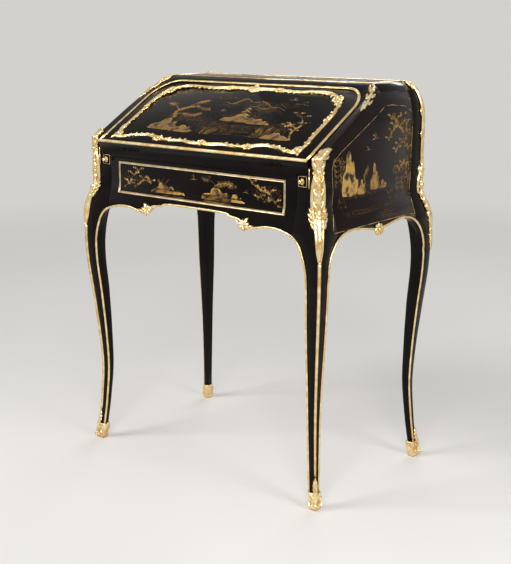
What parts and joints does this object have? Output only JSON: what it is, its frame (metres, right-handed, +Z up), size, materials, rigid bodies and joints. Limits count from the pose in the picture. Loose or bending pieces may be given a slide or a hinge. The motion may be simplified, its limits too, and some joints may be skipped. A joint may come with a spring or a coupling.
{
  "type": "slant-front desk",
  "caption": "Small slant-front writing desk on cabriole legs in black lacquer with gilt bronze mounts; a hinged fall resting on pull-out lopers, a frieze drawer and a fitted interior.",
  "frame": {"origin": "on the floor under the middle of the case", "axes": "+X to the sitter's right, +Y towards the back, +Z up"},
  "size_m": [0.6758, 0.4156, 0.852],
  "materials": {
    "lacquer": "glossy black lacquer",
    "carcase_wood": "waxed",
    "gilt_bronze": "fire gilt, partly burnished",
    "pale_brass": "satin",
    "leather": "tooled, waxed",
    "steel": "satin",
    "baize": "napped wool cloth"
  },
  "bodies": {
    "root": {"right_front_leg": "lacquer", "left_front_leg": "lacquer", "right_rear_leg": "lacquer", "left_rear_leg": "lacquer", "right_side_panel": "lacquer", "left_side_panel": "lacquer", "back_panel": "lacquer", "top_board": "lacquer", "head_rail": "lacquer", "front_rail": "lacquer", "writing_board": "carcase_wood", "dust_board": "carcase_wood", "drawer_runners": "carcase_wood", "loper_guides": "carcase_wood", "nest_shelf": "carcase_wood", "nest_uprights": "carcase_wood", "right_front_mount": "gilt_bronze", "left_front_mount": "gilt_bronze", "right_rear_mount": "gilt_bronze", "left_rear_mount": "gilt_bronze", "head_mounts": "gilt_bronze", "ridge_strips": "gilt_bronze", "right_front_sabot": "gilt_bronze", "left_front_sabot": "gilt_bronze", "right_rear_sabot": "gilt_bronze", "left_rear_sabot": "gilt_bronze", "front_beads": "gilt_bronze", "side_beads": "gilt_bronze", "side_clasps": "gilt_bronze", "top_bead": "gilt_bronze", "strike_plate": "gilt_bronze", "hinge_fixed_leaves": "gilt_bronze", "hinge_pins": "steel"},
    "fall": {"fall_panel": "lacquer", "fall_leather": "leather", "fall_bead": "gilt_bronze", "fall_moulding": "gilt_bronze", "fall_border": "gilt_bronze", "border_clasps": "gilt_bronze", "key_escutcheon": "gilt_bronze", "hinge_moving_leaves": "gilt_bronze", "lock_case": "gilt_bronze"},
    "bolt": {"lock_bolt": "steel"},
    "right_loper": {"right_loper": "carcase_wood", "right_loper_pad": "baize", "right_loper_pull": "gilt_bronze"},
    "left_loper": {"left_loper": "carcase_wood", "left_loper_pad": "baize", "left_loper_pull": "gilt_bronze"},
    "frieze_drawer": {"frieze_front": "lacquer", "frieze_box": "carcase_wood", "frieze_frame": "pale_brass", "frieze_bead": "gilt_bronze", "frieze_clasps": "gilt_bronze"},
    "left_drawer": {"left_nest_drawer": "carcase_wood", "left_nest_knob": "gilt_bronze"},
    "middle_drawer": {"middle_nest_drawer": "carcase_wood", "middle_nest_knob": "gilt_bronze"},
    "right_drawer": {"right_nest_drawer": "carcase_wood", "right_nest_knob": "gilt_bronze"}
  },
  "joints": [
    {"name": "fall_hinge", "type": "hinge", "parent": "root", "child": "fall", "pos_m": [0, -0.19, 0.7], "axis": [1, 0, 0], "range_deg": [0, 149.79]},
    {"name": "lock_bolt_slide", "type": "slide", "parent": "fall", "child": "bolt", "axis": [0, 0.8644, 0.5029], "range_m": [0, 0.006]},
    {"name": "right_loper_slide", "type": "slide", "parent": "root", "child": "right_loper", "axis": [0, -1, 0], "range_m": [0, 0.2]},
    {"name": "left_loper_slide", "type": "slide", "parent": "root", "child": "left_loper", "axis": [0, -1, 0], "range_m": [0, 0.2]},
    {"name": "frieze_drawer_slide", "type": "slide", "parent": "root", "child": "frieze_drawer", "axis": [0, -1, 0], "range_m": [0, 0.22]},
    {"name": "left_drawer_slide", "type": "slide", "parent": "root", "child": "left_drawer", "axis": [0, -1, 0], "range_m": [0, 0.095]},
    {"name": "middle_drawer_slide", "type": "slide", "parent": "root", "child": "middle_drawer", "axis": [0, -1, 0], "range_m": [0, 0.095]},
    {"name": "right_drawer_slide", "type": "slide", "parent": "root", "child": "right_drawer", "axis": [0, -1, 0], "range_m": [0, 0.095]}
  ]
}
